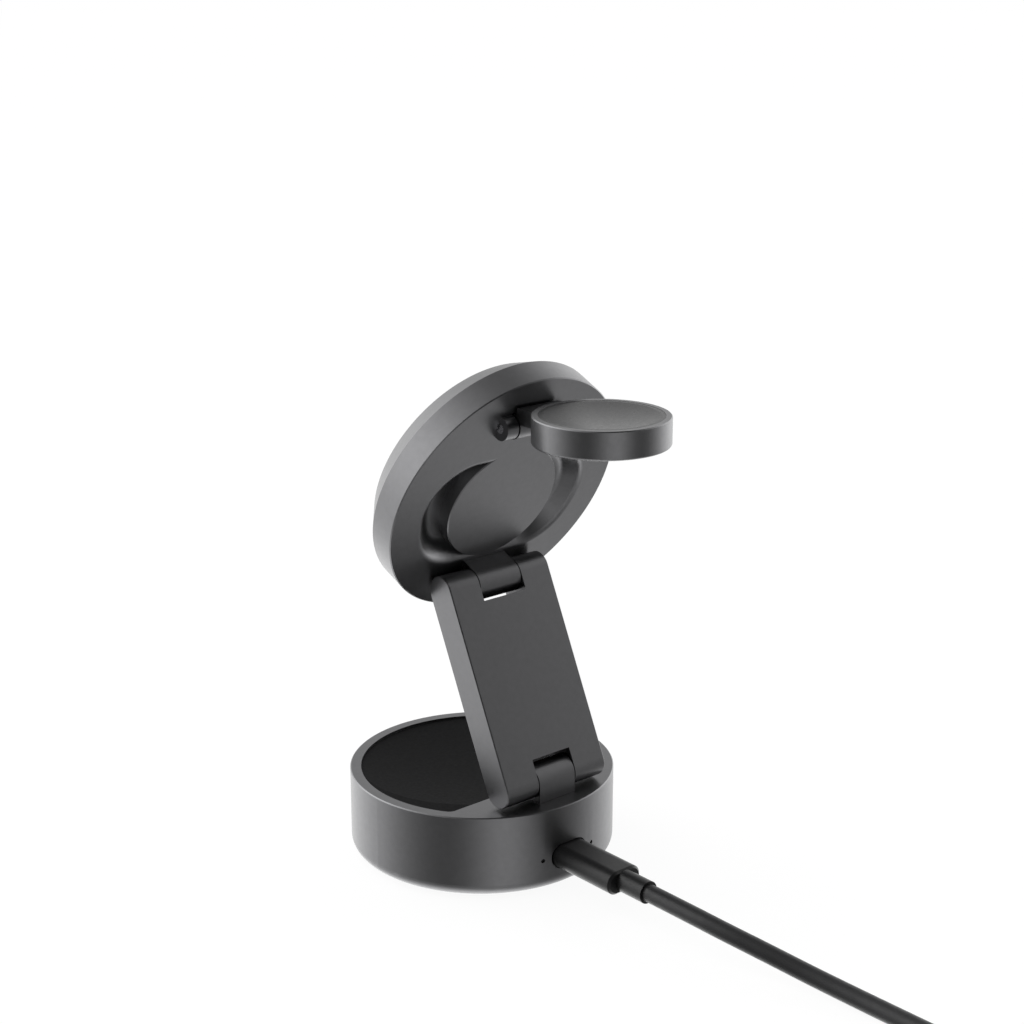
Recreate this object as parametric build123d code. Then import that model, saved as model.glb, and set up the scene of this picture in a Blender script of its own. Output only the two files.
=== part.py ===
"""Folding three in one wireless charger: drum base, hinged arm, round charging head, flip-up puck.

Millimetres. +Z is up, the charging face of the head looks to -Y, and the cable leaves the drum towards
+Y. The origin is on the table, under the middle of the drum.
"""
from build123d import *
import math
import os

# Fits and gaps
FIT = 0.05             # side clearance of a piece that is glued or set into its seat
PIN_FIT = 0.04         # radial clearance of a pin that turns in its bush
PRESS_FIT = 0.01       # radial clearance of a pin or bush that is pressed home
HINGE_GAP = 0.3        # free gap beside and around a part that swings
INNER_GAP = 0.3        # gap between inner pieces that do not touch
LUG_SIDE_GAP = 0.3     # gap on each side of a lug in the arm's slot

# Drum: a turned aluminium cup on a soft foot
BASE_R = 35.0
BASE_H = 22.1
BASE_WALL = 4.5
BASE_EDGE_R = 3.4      # rounding of the lower rim
EDGE_CHAMFER = 0.25    # bright cut edge of the aluminium pieces
FOOT_T = 1.0
FOOT_PROUD = 0.5       # how far the foot stands out of the drum
FOOT_MARGIN = 1.5      # ring of the bottom cover that the foot leaves free
COVER_T = 2.0

# Soft dished pad on top of the drum, a circle cut by a chord in front of the hinge
PAD_RIM = 2.9          # width of the aluminium rim round the pad
PAD_CHORD_INSET = 16.0  # chord from the back of the drum
PAD_CORNER_R = 2.5
PAD_T = 4.4
PAD_LEDGE = 2.4        # width of the ledge that the pad lies on
LEDGE_T = 1.5
DISH_DEPTH = 3.0
DISH_RIM = 1.6         # rim of the pad at which the dish runs out
DISH_Y = -5.0

# Coils, boards, weight and screws
COIL_T = 1.4
FERRITE_T = 0.9
FERRITE_RIM = 1.2      # how far a ferrite reaches past its coil
PAD_COIL_GAP = 2.6     # gap between the coil and the ledge at the chord
PAD_COIL_BORE = 8.5
BOARD_T = 1.6
BOARD_W = 26.0
BOARD_FRONT_Y = -14.0
STAND_OFF_R = 1.8
STAND_OFF_INSET = 3.0  # stand-off from the sides and the front edge of the board
STAND_OFF_BACK = 9.0   # stand-off from the back edge of the board
CHIP_SIZES = ((7.0, 7.0, 1.0), (5.0, 4.0, 1.2), (4.5, 4.5, 3.0), (3.0, 5.0, 1.6))
CHIP_PITCH = 8.5
CHIP_MARGIN = 5.95     # middle of the first part from the front of the board
BALLAST_MARGIN = 5.5   # gap between the weight and the bore of the drum
BALLAST_BORE = 4.0
BALLAST_T = 2.4
POST_R = 2.6
POST_INSET = 2.1       # axis of a screw post from the bore of the drum
POST_ANGLES = (40, 140, 220, 320)
SCREW_R = 1.0
SCREW_HEAD_R = 1.9
SCREW_HEAD_T = 1.1
SCREW_GRIP = 5.0       # thread length behind the head

# Socket, plug, cable and light pipes in the back of the drum
PORT_Z = 8.5           # centre of the socket above the lower rim of the drum
PORT_RECESS = 1.4      # depth of the plug's recess in the wall
PORT_GAP = 0.35        # gap round the plug in its recess
SOCKET_W = 8.94
SOCKET_H = 3.16
SOCKET_L = 7.3
SOCKET_WALL = 0.3
SOCKET_BACK_T = 0.6
TONGUE_W = 6.6
TONGUE_H = 0.7
TONGUE_SET_BACK = 1.6
PLUG_W = 8.25
PLUG_H = 2.4
PLUG_L = 6.5
PLUG_WALL = 0.55
PLUG_ROOT = 1.0        # solid length of the plug in front of its grip
GRIP_W = 11.0
GRIP_H = 6.2
GRIP_L = 21.5
GRIP_EDGE = 0.6
RELIEF_D = 5.8
RELIEF_L = 8.3
CORD_D = 4.5
PINHOLE_R = 0.55
PINHOLE_X = 8.3
LIGHT_SET_BACK = 0.5

# Arm: a flat bar with round ends, slotted and pivoted at both ends
ARM_W = 33.0
ARM_T = 8.6
ARM_PITCH = 52.1
ARM_LEAN = 25.0        # degrees, top towards the front
ARM_FLOAT = 0.5        # gap between the arm's ears and the top of the drum
HINGE_SHELF = 2.45     # drum top between the pad and the base lug
LUG_W = 11.9
LOW_SLOT_GAP = 0.95    # end of the arm's lower slot from the base lug
HIGH_SLOT_W = 14.0
HIGH_SLOT_GAP = 0.6    # end of the arm's upper slot from the head lug
PIN_R = 1.5
PIN_BITE = 6.0         # length of a hinge pin in each ear
BUSH_T = 1.0
LUG_FOOT_T = 2.5
LUG_FOOT_W = 24.0
LUG_FOOT_FRONT = 2.6   # how far the foot of the base lug reaches in front of it
PLATE_W = 24.0         # cover plate of the wire channel
PLATE_T = 1.2
PLATE_MARGIN = 4.0
WIRE_W = 7.0
WIRE_DEPTH = 3.2
FLEX_T = 0.4
FLEX_SIDE_GAP = 0.5

# Charging head: a thick disc with a bevelled front ring
HEAD_R = 35.0
HEAD_BACK_T = 7.5
HEAD_TILT = 24.4       # degrees, top towards the back
HEAD_BEVEL = 4.5       # step of the front ring in radius
HEAD_FRONT_T = 6.15
HEAD_LIP = 1.9         # width of the front ring at the charging face
HEAD_PIVOT_INSET = 10.45  # pivot from the lower edge of the head
MOAT_RIM = 9.0         # back face left outside the finger moat
MOAT_TOP = 11.8        # upper edge of the moat above the middle of the head
MOAT_LUG_GAP = 1.35    # lower edge of the moat above the head lug
MOAT_CORNER_R = 14.0
MOAT_DEPTH = 4.0
MOAT_SLOPE = 45.0      # degrees, lean of the moat's outer wall
MOAT_COVE = 2.5
MOAT_EDGE_R = 2.0
SEAT_R = 16.9          # round seat that the folded puck lies on
SEAT_RISE = 21.85      # middle of the seat above the pivot
SEAT_WALL = 1.8
FACE_PAD_T = 0.8
FACE_PLATE_T = 1.0
MAGNET_COUNT = 16
MAGNET_W = 4.6
MAGNET_T = 2.6
MAGNET_GAP = 0.6
MAGNET_MARGIN = 1.0    # gap between the magnets and the bore of the front ring
HEAD_COIL_MARGIN = 2.0
HEAD_COIL_BORE = 9.0
HEAD_SCREW_INSET = 2.2
HEAD_SCREW_ANGLES = (90, 210, 330)
HEAD_BOARD_GAP = 1.0   # gap between the small board and the wall round it
HEAD_BOARD_T = 1.0
HEAD_BOARD_SHIFT = 1.0  # small board above the middle of the seat, clear of the head lug

# Puck on a cranked leaf that flips out of the head
PUCK_R = 16.7
PUCK_T = 7.0
PUCK_WALL = 1.6
PUCK_FLOOR = 1.3
PUCK_EDGE_R = 0.6
PUCK_NECK = 8.1        # hinge to the near edge of the puck
PUCK_RISE = 3.0        # middle of the puck above its hinge, open
PUCK_SEAT_GAP = 0.3    # gap between the folded puck and its seat
PUCK_STOW_GAP = 1.55   # gap between the folded puck and the head lug
PUCK_FACE_T = 1.4
PUCK_FACE_RIM = 1.0
PUCK_FACE_DISH = 0.8
PUCK_COIL_R = 12.5
PUCK_COIL_BORE = 6.0
PUCK_MAGNET_R = 4.6
LEAF_W = 13.0
LEAF_TONGUE = 2.2      # how far the leaf reaches through the wall of the puck
LEAF_FACE_GAP = 0.2    # gap between the leaf and the underside of the puck's face
BARREL_R = 3.2
CRANK_TOP_ANGLE = 62.0  # where the crank leaves the barrel, degrees from the leaf
CRANK_LOW_ANGLE = -51.3
CRANK_SINK = 0.12      # depth of the crank's corners in the barrel
PUCK_PIN_R = 1.2
PUCK_EAR_W = 3.5
PUCK_EAR_R = 3.0
EAR_ROOT = 1.0         # depth of the ears in the back shell

# Cable on the table: the laid stretch, the coil with its ties, and the loose end
ROUTE = [
    (0.0, 63.45, 9.0), (0.0, 78.0, 9.0), (-1.2, 88.0, 8.0), (-3.9, 98.5, 6.1), (-6.8, 109.5, 3.9),
    (-8.8, 121.0, 2.6), (-9.6, 133.0, 2.25), (-10.0, 146.0, 2.25), (-9.7, 160.0, 2.35),
    (-9.4, 173.0, 2.85),
]
TAIL = [
    (33.3, 208.2, 7.35), (41.1, 203.7, 7.3), (48.5, 197.8, 6.5), (54.2, 189.4, 4.6), (57.0, 179.1, 3.25),
    (57.6, 169.0, 3.25),
]
ARC_SHARE = 0.45       # share of a run that the arc at its end may take
COIL_X = 20.6
COIL_Y = 181.0
COIL_R_MID = 25.5
COIL_ROWS = 3          # turns side by side
COIL_LAYERS = 2
COIL_EDGE_R = 1.8
TIE_T = 0.6
TIE_W = 9.0
TIE_ANGLES = (115, 285)

# Heights and radii of the drum
LIP_Z = FOOT_PROUD
TOP_Z = LIP_Z + BASE_H
BORE_R = BASE_R - BASE_WALL
PAD_R = BASE_R - PAD_RIM
PAD_CHORD_Y = BASE_R - PAD_CHORD_INSET
PAD_COIL_R = PAD_CHORD_Y - PAD_LEDGE - DISH_Y - PAD_COIL_GAP
PAD_Z = TOP_Z - PAD_T
CEILING_Z = PAD_Z - LEDGE_T
COVER_TOP_Z = FOOT_T + COVER_T
PORT_AT_Z = LIP_Z + PORT_Z
PORT_FLOOR_Y = BASE_R - PORT_RECESS
BOARD_Z = PORT_AT_Z - SOCKET_H / 2 - BOARD_T
BOARD_BACK_Y = math.sqrt((BORE_R - INNER_GAP) ** 2 - (BOARD_W / 2) ** 2)
POST_CIRCLE = BORE_R - POST_INSET
COVER_SCREW_CIRCLE = POST_CIRCLE - POST_R + SCREW_R / 2

# Hinges
KNUCKLE_R = ARM_T / 2
ARM_PIVOT_Y = PAD_CHORD_Y + HINGE_SHELF + KNUCKLE_R
ARM_PIVOT_Z = TOP_Z + ARM_FLOAT + KNUCKLE_R
LUG_FOOT_BACK_Y = math.sqrt((BORE_R - INNER_GAP) ** 2 - (LUG_FOOT_W / 2) ** 2)
LUG_SCREW_X = (LUG_W + LUG_FOOT_W) / 4
LUG_SCREW_Y = (PAD_CHORD_Y + LUG_FOOT_BACK_Y) / 2
LUG_FOOT_Z = CEILING_Z - LUG_FOOT_T
BUSH_R = PIN_R + PIN_FIT + BUSH_T
LOW_SLOT_W = LUG_W + 2 * LUG_SIDE_GAP
LOW_PIN_L = LOW_SLOT_W + 2 * PIN_BITE
HIGH_PIN_L = HIGH_SLOT_W + 2 * PIN_BITE
HEAD_LUG_W = HIGH_SLOT_W - 2 * LUG_SIDE_GAP
LOW_SLOT_END = KNUCKLE_R + LOW_SLOT_GAP
HIGH_SLOT_END = ARM_PITCH - KNUCKLE_R - HIGH_SLOT_GAP

# Head stack, measured out of the back face
HEAD_FRONT_R = HEAD_R - HEAD_BEVEL
HEAD_BORE = HEAD_FRONT_R - HEAD_LIP
HEAD_FRONT_N = -HEAD_BACK_T - HEAD_FRONT_T
PLATE_N = HEAD_FRONT_N + FACE_PAD_T
STACK_N = PLATE_N + FACE_PLATE_T
CARRIER_N = STACK_N + MAGNET_T
MAGNET_R = HEAD_BORE - MAGNET_MARGIN
HEAD_FERRITE_R = MAGNET_R - MAGNET_W - HEAD_COIL_MARGIN / 2
HEAD_COIL_R = HEAD_FERRITE_R - FERRITE_RIM
HEAD_PIVOT_N = KNUCKLE_R + HINGE_GAP
HEAD_PIVOT_V = HEAD_PIVOT_INSET - HEAD_R
HEAD_LUG_LOW = HEAD_PIVOT_V - KNUCKLE_R
HEAD_LUG_HIGH = HEAD_PIVOT_V + KNUCKLE_R
MOAT_LOW = HEAD_LUG_HIGH + MOAT_LUG_GAP
SEAT_V = HEAD_PIVOT_V + SEAT_RISE
HEAD_BOARD_V = SEAT_V + HEAD_BOARD_SHIFT
HEAD_BOARD_R = SEAT_R - SEAT_WALL - HEAD_BOARD_GAP - HEAD_BOARD_SHIFT

# Puck, measured from its hinge with the puck level
PUCK_REACH = PUCK_NECK + PUCK_R
PUCK_LOW = PUCK_RISE - PUCK_T / 2
PUCK_HIGH = PUCK_LOW + PUCK_T
PUCK_BORE = PUCK_R - PUCK_WALL
PUCK_FACE_Z = PUCK_HIGH - PUCK_FACE_T
PUCK_HINGE_N = PUCK_SEAT_GAP - PUCK_LOW
PUCK_HINGE_V = HEAD_LUG_HIGH + PUCK_STOW_GAP + PUCK_R + PUCK_REACH
PUCK_PIN_L = LEAF_W + 2 * HINGE_GAP + 2 * PUCK_EAR_W
LEAF_LOW = PUCK_LOW + PUCK_FLOOR
LEAF_TOP = PUCK_FACE_Z - LEAF_FACE_GAP
LEAF_END = PUCK_NECK + LEAF_TONGUE

# Cable coil
COIL_IN = COIL_R_MID - CORD_D * COIL_ROWS / 2
COIL_OUT = COIL_R_MID + CORD_D * COIL_ROWS / 2
COIL_TOP = TIE_T + CORD_D * COIL_LAYERS

# Places of the moving bodies at rest
lean = math.radians(ARM_LEAN)
tilt = math.radians(HEAD_TILT)
high_pivot = Vector(0, ARM_PIVOT_Y - ARM_PITCH * math.sin(lean), ARM_PIVOT_Z + ARM_PITCH * math.cos(lean))
back_dir = Vector(0, math.cos(tilt), -math.sin(tilt))
up_dir = Vector(0, math.sin(tilt), math.cos(tilt))
head_middle = high_pivot - back_dir * HEAD_PIVOT_N - up_dir * HEAD_PIVOT_V
puck_hinge = head_middle + back_dir * PUCK_HINGE_N + up_dir * PUCK_HINGE_V
base_lug_at = Pos(0, ARM_PIVOT_Y, ARM_PIVOT_Z)
arm_at = base_lug_at * Rot(X=ARM_LEAN)
# In the head's own frame x runs across, y up the disc and z out of its back face
head_at = Plane(origin=head_middle, x_dir=(-1, 0, 0), z_dir=back_dir).location
puck_at = Pos(*puck_hinge)

UP = (Align.CENTER, Align.CENTER, Align.MIN)
PAST = 1.0             # how far a cutting shape runs past the face that it opens


def disc(radius, low, high, x=0.0, y=0.0):
    """Upright cylinder between two heights."""
    return Pos(x, y, low) * Cylinder(radius, high - low, align=UP)


def ring(outer, inner, low, high, x=0.0, y=0.0):
    """Upright ring between two heights."""
    return disc(outer, low, high, x, y) - disc(inner, low - PAST, high + PAST, x, y)


def block(x_size, y_low, y_high, z_low, z_high, x=0.0):
    """Box centred on x, between the given limits along y and z."""
    middle = Pos(x, (y_low + y_high) / 2, (z_low + z_high) / 2)
    return middle * Box(x_size, y_high - y_low, z_high - z_low)


def across(profile, width):
    """Profile drawn in y and z, extruded evenly to both sides of x = 0."""
    return extrude(Plane.YZ * profile, amount=width / 2, both=True)


def pin(radius, length, y=0.0, z=0.0, x=0.0):
    """Cylinder along x."""
    return Pos(x, y, z) * Rot(Y=90) * Cylinder(radius, length)


def along_y(profile, start, end, x=0.0, z=0.0):
    """Profile drawn in x and z, extruded along y."""
    plane = Plane(origin=(x, start, z), x_dir=(1, 0, 0), z_dir=(0, -1, 0))
    return extrude(plane * profile, amount=start - end)


def on_circle(radius, angles):
    """Points on a circle about the axis."""
    return [(radius * math.cos(math.radians(a)), radius * math.sin(math.radians(a))) for a in angles]


def rim(solid, high=True):
    """Top or bottom round edge of a solid."""
    edges = solid.edges().filter_by(GeomType.CIRCLE).sort_by(Axis.Z)
    return edges[-1] if high else edges[0]


def cut_circle(radius, low, high, corner):
    """Circle cut off below y = low and above y = high, with rounded corners."""
    band = Pos(0, (low + high) / 2) * Rectangle(4 * radius, high - low)
    outline = Circle(radius) & band
    return fillet(outline.vertices(), corner)


def dish_ball(radius, depth, middle_y, rim_z):
    """Ball that cuts a dish of the given radius and depth into a face at rim_z."""
    ball_r = (radius ** 2 + depth ** 2) / (2 * depth)
    return Pos(0, middle_y, rim_z - depth + ball_r) * Sphere(ball_r)


def screw(x, y, head_z):
    """Countersunk screw driven upwards, with the face of its head at head_z."""
    head = Cone(SCREW_HEAD_R, SCREW_R, SCREW_HEAD_T, align=UP)
    return Pos(x, y, head_z) * (head + disc(SCREW_R, SCREW_HEAD_T, SCREW_HEAD_T + SCREW_GRIP))


def screw_hole(x, y, head_z):
    """Seat and hole of such a screw."""
    head = Cone(SCREW_HEAD_R + FIT, SCREW_R + FIT, SCREW_HEAD_T, align=UP)
    return Pos(x, y, head_z) * (head + disc(SCREW_R + FIT, 0, SCREW_HEAD_T + SCREW_GRIP + FIT))


def lug_profile(neck):
    """Knuckle about the pivot on a straight neck of the given length, in y and z."""
    return Circle(KNUCKLE_R) + Pos(0, -neck / 2) * Rectangle(2 * KNUCKLE_R, neck)


def hinge_bush(width):
    return pin(BUSH_R, width) - pin(PIN_R + PIN_FIT, width + PAST)


post_places = on_circle(POST_CIRCLE, POST_ANGLES)
cover_screw_places = on_circle(COVER_SCREW_CIRCLE, POST_ANGLES)
lug_screw_places = [(side * LUG_SCREW_X, LUG_SCREW_Y) for side in (-1, 1)]
stand_off_x = BOARD_W / 2 - STAND_OFF_INSET
stand_off_places = [(side * stand_off_x, y) for side in (-1, 1)
                    for y in (BOARD_FRONT_Y + STAND_OFF_INSET, BOARD_BACK_Y - STAND_OFF_BACK)]


def pad_outline(inset):
    return cut_circle(PAD_R - inset, -2 * PAD_R, PAD_CHORD_Y - inset, PAD_CORNER_R)


def base_shell():
    """Turned drum with the pad's ledge, screw posts, hinge slot, plug recess and light holes."""
    shell = disc(BASE_R, LIP_Z, TOP_Z)
    shell = fillet(rim(shell, high=False), BASE_EDGE_R)
    shell = chamfer(rim(shell), EDGE_CHAMFER)
    shell -= disc(BORE_R, LIP_Z - PAST, CEILING_Z)
    shell -= Pos(0, 0, CEILING_Z - PAST) * extrude(pad_outline(PAD_LEDGE), PAD_T)
    shell -= Pos(0, 0, PAD_Z) * extrude(pad_outline(0), PAD_T + PAST)
    for x, y in post_places:
        shell += disc(POST_R, COVER_TOP_Z, CEILING_Z, x, y)
    for x, y in cover_screw_places:
        shell -= screw_hole(x, y, FOOT_T)
    for x, y in lug_screw_places:
        shell -= screw_hole(x, y, LUG_FOOT_Z)
    half_lug = KNUCKLE_R + FIT
    shell -= block(LUG_W + 2 * FIT, ARM_PIVOT_Y - half_lug, ARM_PIVOT_Y + half_lug, CEILING_Z, TOP_Z + PAST)
    recess = SlotOverall(GRIP_W + 2 * PORT_GAP, GRIP_H + 2 * PORT_GAP)
    shell -= along_y(recess, PORT_FLOOR_Y, BASE_R + PAST, z=PORT_AT_Z)
    socket_hole = SlotOverall(SOCKET_W + 2 * FIT, SOCKET_H + 2 * FIT)
    shell -= along_y(socket_hole, BORE_R - BASE_WALL, BASE_R, z=PORT_AT_Z)
    for side in (-1, 1):
        shell -= along_y(Circle(PINHOLE_R), BORE_R - BASE_WALL, BASE_R + PAST, side * PINHOLE_X, PORT_AT_Z)
    return shell


def dish_pad():
    """Soft pad with a shallow round dish."""
    face_z = TOP_Z - FIT
    pad = Pos(0, 0, PAD_Z) * extrude(offset(pad_outline(0), -FIT), face_z - PAD_Z)
    return pad - dish_ball(PAD_R - DISH_RIM, DISH_DEPTH, DISH_Y, face_z)


def bottom_cover():
    """Moulded cover with stand-offs for the board."""
    cover = disc(BORE_R - FIT, FOOT_T, COVER_TOP_Z)
    for x, y in stand_off_places:
        cover += disc(STAND_OFF_R, FOOT_T, BOARD_Z, x, y)
    for x, y in cover_screw_places:
        cover -= screw_hole(x, y, FOOT_T)
    return cover


def ballast_plate():
    """Steel weight that lies on the cover, clear of the posts and stand-offs."""
    plate = ring(BORE_R - BALLAST_MARGIN, BALLAST_BORE, COVER_TOP_Z, COVER_TOP_Z + BALLAST_T)
    for x, y in stand_off_places:
        plate -= disc(STAND_OFF_R + INNER_GAP, FOOT_T, BOARD_Z, x, y)
    for x, y in post_places:
        plate -= disc(POST_R + INNER_GAP, FOOT_T, BOARD_Z, x, y)
    return plate


def main_board():
    """Circuit board with a row of parts along its middle."""
    board = block(BOARD_W, BOARD_FRONT_Y, BOARD_BACK_Y, BOARD_Z, BOARD_Z + BOARD_T)
    top = BOARD_Z + BOARD_T
    for place, (width, depth, height) in enumerate(CHIP_SIZES):
        y = BOARD_FRONT_Y + CHIP_MARGIN + CHIP_PITCH * place
        board += block(width, y - depth / 2, y + depth / 2, top, top + height)
    return board


def light_pipe(side):
    """Clear rod behind a pinhole beside the socket."""
    face = math.sqrt(BASE_R ** 2 - PINHOLE_X ** 2) - LIGHT_SET_BACK
    root = math.sqrt(BORE_R ** 2 - PINHOLE_X ** 2)
    return along_y(Circle(PINHOLE_R - FIT), root, face, side * PINHOLE_X, PORT_AT_Z)


def usb_socket():
    """Folded metal tube on the edge of the board, with a contact tongue."""
    nose = PORT_FLOOR_Y - FIT
    back = nose - SOCKET_L
    shell = along_y(SlotOverall(SOCKET_W, SOCKET_H), back, nose, z=PORT_AT_Z)
    hollow = SlotOverall(SOCKET_W - 2 * SOCKET_WALL, SOCKET_H - 2 * SOCKET_WALL)
    shell -= along_y(hollow, back + SOCKET_BACK_T, nose + PAST, z=PORT_AT_Z)
    low, high = PORT_AT_Z - TONGUE_H / 2, PORT_AT_Z + TONGUE_H / 2
    return shell + block(TONGUE_W, back, nose - TONGUE_SET_BACK, low, high)


def base_hinge_lug():
    """Lug that stands through the top of the drum, with a screwed foot under it."""
    lug = base_lug_at * across(lug_profile(ARM_PIVOT_Z - CEILING_Z), LUG_W)
    foot_front = ARM_PIVOT_Y - KNUCKLE_R - LUG_FOOT_FRONT
    lug += block(LUG_FOOT_W, foot_front, LUG_FOOT_BACK_Y, LUG_FOOT_Z, CEILING_Z)
    for x, y in lug_screw_places:
        lug -= screw_hole(x, y, LUG_FOOT_Z)
    return lug - base_lug_at * pin(BUSH_R + PRESS_FIT, LUG_W + PAST)


def arm_bar():
    """Flat bar with a slot for a lug at each end and a covered wire channel in its front."""
    bar = across(Pos(0, ARM_PITCH / 2) * Rot(Z=90) * SlotCenterToCenter(ARM_PITCH, ARM_T), ARM_W)
    sides = bar.faces().sort_by(Axis.X)
    bar = chamfer(sides[0].edges() + sides[-1].edges(), EDGE_CHAMFER)
    bar -= block(LOW_SLOT_W, -ARM_T, ARM_T, -ARM_T, LOW_SLOT_END)
    bar -= block(HIGH_SLOT_W, -ARM_T, ARM_T, HIGH_SLOT_END, ARM_PITCH + ARM_T)
    front = -ARM_T / 2
    plate_low, plate_high = LOW_SLOT_END + PLATE_MARGIN, HIGH_SLOT_END - PLATE_MARGIN
    bar -= block(PLATE_W, front - PAST, front + PLATE_T, plate_low, plate_high)
    bar -= block(WIRE_W, front + PLATE_T - FIT, front + PLATE_T + WIRE_DEPTH, 0, ARM_PITCH)
    bar -= pin(PIN_R + PRESS_FIT, LOW_PIN_L + 2 * FIT)
    bar -= pin(PIN_R + PRESS_FIT, HIGH_PIN_L + 2 * FIT, z=ARM_PITCH)
    return arm_at * bar


def arm_cover_plate():
    """Plate over the wire channel, flush with the front of the bar."""
    front = -ARM_T / 2
    low, high = LOW_SLOT_END + PLATE_MARGIN + FIT, HIGH_SLOT_END - PLATE_MARGIN - FIT
    return arm_at * block(PLATE_W - 2 * FIT, front, front + PLATE_T, low, high)


def arm_flat_wire():
    """Flat wire that lies on the floor of the channel."""
    floor = -ARM_T / 2 + PLATE_T + WIRE_DEPTH
    return arm_at * block(WIRE_W - 2 * FLEX_SIDE_GAP, floor - FLEX_T, floor, LOW_SLOT_END, HIGH_SLOT_END)


def finger_moat():
    """Cutting shape of the scooped moat round the seat, coved at its floor."""
    outline = cut_circle(HEAD_R - MOAT_RIM, MOAT_LOW, MOAT_TOP, MOAT_CORNER_R)
    moat = extrude(outline, MOAT_DEPTH, dir=(0, 0, -1), taper=MOAT_SLOPE)
    return fillet(moat.faces().sort_by(Axis.Z)[0].edges(), MOAT_COVE)


def moated_disc():
    """Back disc of the head with the soft-edged moat, and the round seat that stands in it."""
    back = disc(HEAD_R, -HEAD_BACK_T, 0)
    back = chamfer(rim(back), EDGE_CHAMFER)
    back -= finger_moat()
    back = fillet(back.faces().sort_by(Axis.Z)[-1].inner_wires()[0].edges(), MOAT_EDGE_R)
    seat = disc(SEAT_R, -HEAD_BACK_T, 0, y=SEAT_V)
    return back + chamfer(rim(seat), EDGE_CHAMFER)


def seat_hollow():
    """Room for the small board behind the seat, clear of the head lug."""
    hollow = disc(SEAT_R - SEAT_WALL, -HEAD_BACK_T - PAST, -SEAT_WALL, y=SEAT_V)
    lug_wall = HEAD_LUG_HIGH + SEAT_WALL
    return hollow - block(4 * HEAD_R, -2 * HEAD_R, lug_wall, -2 * HEAD_BACK_T, 0)


def puck_ear(side):
    """Half-round ear for the puck's hinge pin."""
    x = side * (LEAF_W / 2 + HINGE_GAP + PUCK_EAR_W / 2)
    foot = block(PUCK_EAR_W, PUCK_HINGE_V - PUCK_EAR_R, PUCK_HINGE_V + PUCK_EAR_R, -EAR_ROOT, PUCK_HINGE_N, x)
    return foot + pin(PUCK_EAR_R, PUCK_EAR_W, PUCK_HINGE_V, PUCK_HINGE_N, x)


def head_back_shell():
    """Back half of the head: finger moat, seat, pocket for the hinge lug and ears for the puck."""
    lug_low, lug_high = HEAD_LUG_LOW - FIT, HEAD_LUG_HIGH + FIT
    shell = moated_disc() - block(HEAD_LUG_W + 2 * FIT, lug_low, lug_high, -2 * HEAD_BACK_T, PAST)
    shell -= seat_hollow()
    shell -= pin(BARREL_R + HINGE_GAP, LEAF_W + 2 * HINGE_GAP, PUCK_HINGE_V, PUCK_HINGE_N)
    for side in (-1, 1):
        shell += puck_ear(side)
    shell -= pin(PUCK_PIN_R + PRESS_FIT, PUCK_PIN_L + PAST, PUCK_HINGE_V, PUCK_HINGE_N)
    for x, y in on_circle(HEAD_BORE - HEAD_SCREW_INSET, HEAD_SCREW_ANGLES):
        shell -= screw_hole(x, y, CARRIER_N)
    return head_at * shell


def head_front_ring():
    """Bevelled ring that frames the charging face."""
    bevel = Pos(0, 0, HEAD_FRONT_N) * Cone(HEAD_FRONT_R, HEAD_R, HEAD_FRONT_T, align=UP)
    return head_at * (bevel - disc(HEAD_BORE, HEAD_FRONT_N - PAST, 0))


def carrier_plate():
    """Plate that carries the magnets and the coil, screwed to the back shell."""
    plate = disc(HEAD_BORE - FIT, CARRIER_N, -HEAD_BACK_T)
    for x, y in on_circle(HEAD_BORE - HEAD_SCREW_INSET, HEAD_SCREW_ANGLES):
        plate -= screw_hole(x, y, CARRIER_N)
    return head_at * plate


def head_screws():
    places = on_circle(HEAD_BORE - HEAD_SCREW_INSET, HEAD_SCREW_ANGLES)
    return head_at * Compound([screw(x, y, CARRIER_N) for x, y in places])


def magnet_ring():
    """Ring of separate magnets that centres the device on the charging face."""
    sector = 360 / MAGNET_COUNT
    half = math.radians(sector - math.degrees(MAGNET_GAP / MAGNET_R)) / 2
    reach = 2 * MAGNET_R
    side = (reach * math.cos(half), reach * math.sin(half))
    wedge = make_face(Polyline((0, 0), (side[0], -side[1]), side, close=True))
    outline = wedge & (Circle(MAGNET_R) - Circle(MAGNET_R - MAGNET_W))
    magnet = Pos(0, 0, STACK_N) * extrude(outline, MAGNET_T)
    return head_at * Compound([(Rot(Z=sector * place) * magnet).solid() for place in range(MAGNET_COUNT)])


def head_hinge_lug():
    """Lug set into the back shell, which turns in the arm's upper slot."""
    lug = across(lug_profile(HEAD_PIVOT_N + HEAD_BACK_T), HEAD_LUG_W)
    lug -= pin(BUSH_R + PRESS_FIT, HEAD_LUG_W + PAST)
    return head_at * Pos(0, HEAD_PIVOT_V, HEAD_PIVOT_N) * lug


def puck_shell():
    """Turned cup with an opening in its wall for the leaf."""
    shell = disc(PUCK_R, PUCK_LOW, PUCK_HIGH, y=PUCK_REACH)
    shell = fillet(rim(shell, high=False), PUCK_EDGE_R)
    shell = chamfer(rim(shell), EDGE_CHAMFER)
    shell -= disc(PUCK_BORE, LEAF_LOW, PUCK_HIGH + PAST, y=PUCK_REACH)
    return puck_at * (shell - block(LEAF_W + 2 * FIT, 0, LEAF_END, LEAF_LOW, LEAF_TOP + FIT))


def puck_face():
    """Dished charging face."""
    face_r = PUCK_BORE - FIT
    face_z = PUCK_HIGH - FIT
    face = disc(face_r, PUCK_FACE_Z, face_z, y=PUCK_REACH)
    return puck_at * (face - dish_ball(face_r - PUCK_FACE_RIM, PUCK_FACE_DISH, PUCK_REACH, face_z))


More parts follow.
